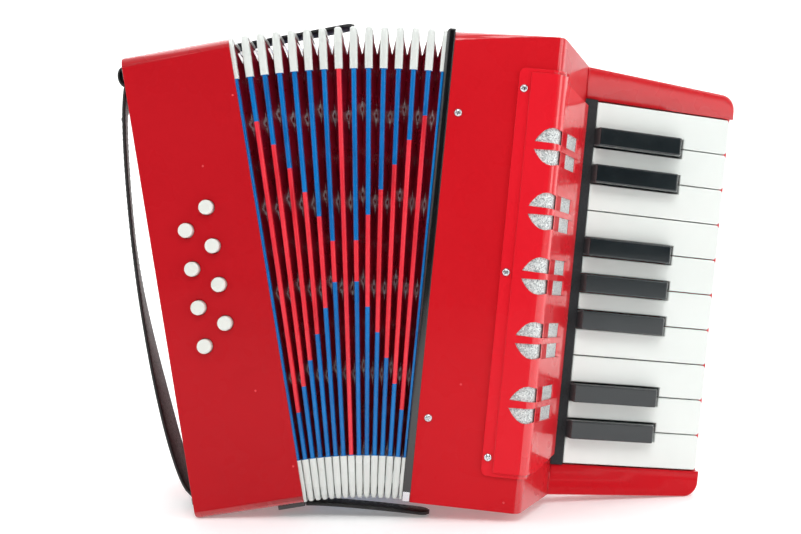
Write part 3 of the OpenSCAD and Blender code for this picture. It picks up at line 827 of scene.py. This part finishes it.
# ---- Straps ----
# A strap's rounded section, as shares of its half width and its thickness; one face is slightly hollow
STRAP_SECTION = [(-1, -0.28), (-0.97, -0.42), (-0.9, -0.5), (0.0, -0.47), (0.9, -0.5), (0.97, -0.42),
                 (1, -0.28), (1, 0.28), (0.97, 0.42), (0.9, 0.5), (0.0, 0.5), (-0.9, 0.5), (-0.97, 0.42),
                 (-1, 0.28)]
STRAP_T, STITCH_PITCH = 1.8, 3.2


def band(name, centre, width, thick, body, replaces, round_end=False, lean=None):
    """A leather strap along centre, (x, z) in the bass box's frame, from y = width[0] to width[1]."""
    rings = []
    count = len(centre)
    y0, y1 = width
    mid, half = (y0 + y1) / 2, (y1 - y0) / 2
    for i, (x, z) in enumerate(centre):
        a, b = centre[max(0, i - 1)], centre[min(count - 1, i + 1)]
        dx, dz = b[0] - a[0], b[1] - a[1]
        length = math.hypot(dx, dz)
        nx, nz = -dz / length, dx / length
        grow = 1.0
        if round_end:
            left = math.dist(centre[-1], (x, z)) / half
            grow = math.sqrt(max(0.02, 1 - (1 - min(1.0, left)) ** 2))
        ring = []
        for s, t in STRAP_SECTION:
            slip = lean(z) * (1 + s) * half if lean else 0.0
            point = Vector((x + nx * t * thick - slip, mid + s * half * grow, z + nz * t * thick))
            ring.append(BASS @ (point * MM))
        rings.append(ring)
    bm, made = swept(rings, False, True)
    bm.faces.new(list(reversed(made[0])))
    bm.faces.new(made[-1])
    bmesh.ops.recalc_face_normals(bm, faces=bm.faces)
    return finish_mesh(name, bm, [STRAP], body, replaces, 50, weighted=False)


def stitches(name, centre, ys, body, lean=None, from_y=0.0):
    """Short thread stitches on both faces of a strap, at the heights ys across it."""
    bm = bmesh.new()
    points = [Vector((x, z)) for x, z in centre]
    done = 0.0
    spots_on = []
    for a, b in zip(points, points[1:]):
        step = (b - a).length
        d = (STITCH_PITCH - done) if done else 0.0
        while d < step:
            spots_on.append((a + (b - a) * (d / step), (b - a).normalized()))
            d += STITCH_PITCH
        done = (step - (d - STITCH_PITCH)) % STITCH_PITCH
    stitch = Matrix.Diagonal((0.95 * MM, 0.22 * MM, 0.16 * MM, 1))
    for p, along in spots_on[1:-1]:
        normal = Vector((-along.y, along.x))
        for y in ys:
            for side in (-1, 1):
                c = p + normal * side * STRAP_T * 0.5
                if lean:
                    c = c - Vector((lean(p.y) * (y - from_y), 0))
                local = Matrix(((along.x, 0, normal.x, c.x * MM), (0, 1, 0, y * MM),
                                (along.y, 0, normal.y, c.y * MM), (0, 0, 0, 1)))
                bmesh.ops.create_icosphere(bm, subdivisions=1, radius=1.0, matrix=BASS @ local @ stitch)
    return finish_mesh(name, bm, [THREAD], body, (), 180, weighted=False)


X_END = -BASS_W - END_PLATE
# The hand strap's lower and upper end, and its front and back edge
Z0, Z1 = 8.0, 221.5
HAND_Y = (22.2, 43.8)


def bow(z):
    """How far the hand strap's inner face stands off the end plate at height z."""
    share = min(1.0, max(0.0, (z - Z0) / (Z1 - Z0)))
    return 1.3 + 11.8 * max(0.0, math.sin(math.pi * share ** 0.78)) ** 0.55


def strap_twist(z):
    """How far the hand strap's back edge stands out from its front edge, per millimetre of width."""
    share = (z - Z0) / (Z1 - Z0)
    rise = min(1.0, max(0.0, (share - 0.15) / 0.5))
    fade = min(1.0, max(0.0, (1.0 - share) / 0.06))
    return 0.25 * rise * rise * (3 - 2 * rise) * fade


steps, past_end = 72, 2.5
line = []
for i in range(steps + 1):
    z = Z0 - past_end + (Z1 - Z0 + 2 * past_end) * i / steps
    line.append((X_END - bow(z) - 1.0, z))
band("hand_strap_band", line, HAND_Y, STRAP_T, "bass", ("hand_strap",), lean=strap_twist)
stitches("hand_strap_stitching", line[4:-4], (HAND_Y[0] + 2, HAND_Y[1] - 2), "bass", strap_twist, HAND_Y[0])

# The strap's upper end, folded back on itself above its clamp
loop_back = []
for degrees in range(-70, 271, 10):
    a = math.radians(degrees)
    loop_back.append((X_END - 3.9 + 2.5 * math.cos(a), BOX_H - 5.6 + 4.4 * math.sin(a)))
band("hand_strap_fold", loop_back, HAND_Y, 1.5, "bass", ())

softened("strap_lugs", "bass", BLACK, BASS,
         [(1.9, lambda m, a, b, n: m.x < X_END - 2),
          (0.5, lambda m, a, b, n: m.x > -20 and n > 2)], "strap_clamps")

# Rivets near the ends of the hand strap
rivet = dome_mesh(2.4, 0.8)
places = []
for z in (27.0, 204.0):
    tilt = math.degrees(math.atan2(bow(z + 2) - bow(z - 2), 4))
    out = bow(z) + STRAP_T + strap_twist(z) * (HAND_Y[1] - HAND_Y[0]) / 2
    places.append(BASS @ at(X_END - out, 33, z) @ turn(tilt, "Y") @ turn(-90, "Z"))
place_all("hand_strap_rivets", rivet, places, CHROME, "bass")

# The closing straps: the top one lies along the bass box's top and rises past it, the bottom one hangs
REACH = 61.0
top_line = []
for i in range(41):
    x = -14 + 75 * i / 40
    top_line.append((x, BOX_H + 0.35 + (0.7 * (x / REACH) ** 2 if x > 0 else 0.0) + 1.0))
band("closing_strap_top_band", top_line, (24.1, 34.9), STRAP_T, "bass", ("closing_strap_top",), True)
stitches("closing_strap_top_stitching", top_line[2:-5], (25.6, 33.4), "bass")
low_line = []
for i in range(37):
    x = 59.0 * i / 36
    low_line.append((x, -(0.6 + 15.2 * (x / REACH) ** 1.15) - 1.0))
band("closing_strap_bottom_band", low_line, (6.6, 17.4), STRAP_T, "bottom_strap",
     ("closing_strap_bottom",), True)
stitches("closing_strap_bottom_stitching", low_line[2:-5], (8.1, 15.9), "bottom_strap")

# Snap caps on the outside of the closing straps, near their free ends
cap = dome_mesh(3.4, 0.9)
x, z = top_line[-4]
place_all("snap_cap_top", cap, [BASS @ at(x, 29.5, z + 0.85) @ turn(-90, "X")], BRASS, "bass")
x, z = low_line[-5]
place_all("snap_cap_bottom", cap, [BASS @ at(x, 12, z - 0.85) @ turn(16, "Y") @ turn(90, "X")],
          BRASS, "bottom_strap")


# ---- Small trim ----
def corner_clip():
    """The chrome clip at the foot of the treble box's bellows frame."""
    bm = bmesh.new()
    size = Matrix.Diagonal((3.4 * MM, 0.9 * MM, 4.6 * MM, 1))
    bmesh.ops.create_cube(bm, size=1.0, matrix=TREBLE @ at(-FRAME_W / 2, -0.1, 2.6) @ size)
    bmesh.ops.bevel(bm, geom=list(bm.edges), offset=0.3 * MM, segments=3, profile=0.5,
                    affect="EDGES", clamp_overlap=True)
    finish_mesh("frame_corner_clip", bm, [CHROME], "treble", (), 40)


corner_clip()


# ---- Floor, light and camera ----
def backdrop():
    """A pale floor, level at z = 0, that curves up into a wall behind the object. In metres."""
    bend_y, bend_r, wall_top, half_width = 1.2, 0.8, 4.0, 4.0
    bm = bmesh.new()
    profile = [(-3.0, 0.0), (bend_y, 0.0)]
    for i in range(1, 13):
        a = math.pi / 2 * i / 12
        profile.append((bend_y + bend_r * math.sin(a), bend_r - bend_r * math.cos(a)))
    profile.append((bend_y + bend_r, wall_top))
    rows = [[bm.verts.new((x, y, z)) for x in (-half_width, 0.0, half_width)] for y, z in profile]
    for a, b in zip(rows, rows[1:]):
        for i in range(2):
            bm.faces.new((a[i], a[i + 1], b[i + 1], b[i]))
    mesh = bpy.data.meshes.new("floor")
    bm.to_mesh(mesh)
    bm.free()
    for p in mesh.polygons:
        p.use_smooth = True
    mesh.materials.append(FLOOR)
    obj = bpy.data.objects.new("floor", mesh)
    scene.collection.objects.link(obj)


backdrop()


def area(name, place, target, size, watts):
    """A white rectangular light at place that faces target."""
    data = bpy.data.lights.new(name, "AREA")
    data.shape = "RECTANGLE"
    data.size, data.size_y = size
    data.energy = watts
    obj = bpy.data.objects.new(name, data)
    obj.location = place
    obj.rotation_mode = "QUATERNION"
    obj.rotation_quaternion = (Vector(target) - Vector(place)).to_track_quat("-Z", "Y")
    scene.collection.objects.link(obj)


area("key", (0.05, -1.0, 1.05), (0, 0, 0.1), (0.8, 0.6), 8.0)
area("left", (-1.0, -0.6, 0.75), (0, 0, 0.12), (0.5, 0.6), 2.5)
area("right", (1.05, -0.62, 0.55), (0, 0, 0.12), (0.35, 0.9), 3.2)
area("strip", (-1.2, -0.15, 0.2), (0, 0, 0.12), (0.22, 0.7), 1.3)
area("card", (0.84, -0.95, 0.475), (0.1, 0, 0.22), (0.4, 0.13), 0.42)
area("top", (0.0, 0.15, 1.2), (0, 0, 0.1), (1.2, 0.8), 4.5)
area("side", (1.2, 0.35, 0.35), (0.05, 0, 0.12), (0.8, 0.9), 3.4)
area("back", (0.0, 0.9, 1.6), (0.0, 1.8, 0.7), (2.4, 0.8), 34)


def studio_world():
    """Soft light from all round, darker in front so that glossy faces there keep their colour."""
    world = bpy.data.worlds.new("studio")
    scene.world = world
    world.use_nodes = True
    tree = world.node_tree
    tree.nodes.clear()
    kinds = ("OutputWorld", "Background", "TexCoord", "SeparateXYZ", "MapRange", "ValToRGB")
    out, back, coord, split, span, ramp = (tree.nodes.new("ShaderNode" + kind) for kind in kinds)
    tree.links.new(coord.outputs["Generated"], split.inputs[0])
    tree.links.new(split.outputs["Y"], span.inputs["Value"])
    span.inputs["From Min"].default_value = -1.0
    span.inputs["From Max"].default_value = 1.0
    tree.links.new(span.outputs[0], ramp.inputs["Fac"])
    for element, (position, level) in zip(ramp.color_ramp.elements, ((0.12, 0.05), (0.42, 0.9))):
        element.position = position
        element.color = (level, level, level, 1)
    tree.links.new(ramp.outputs["Color"], back.inputs["Color"])
    back.inputs["Strength"].default_value = 0.65
    tree.links.new(back.outputs[0], out.inputs[0])


studio_world()

cam = bpy.data.cameras.new("camera")
cam.lens = 41.84
cam.sensor_width = 36.0
cam.dof.use_dof = False
cam_obj = bpy.data.objects.new("camera", cam)
scene.collection.objects.link(cam_obj)
cam_obj.location = TREBLE.translation + Vector((3.39, -450.0, 113.49)) * MM
cam_obj.rotation_euler = (math.radians(90.03), 0.0, math.radians(0.99))
scene.camera = cam_obj
scene.view_settings.view_transform = "Standard"
scene.view_settings.look = "None"
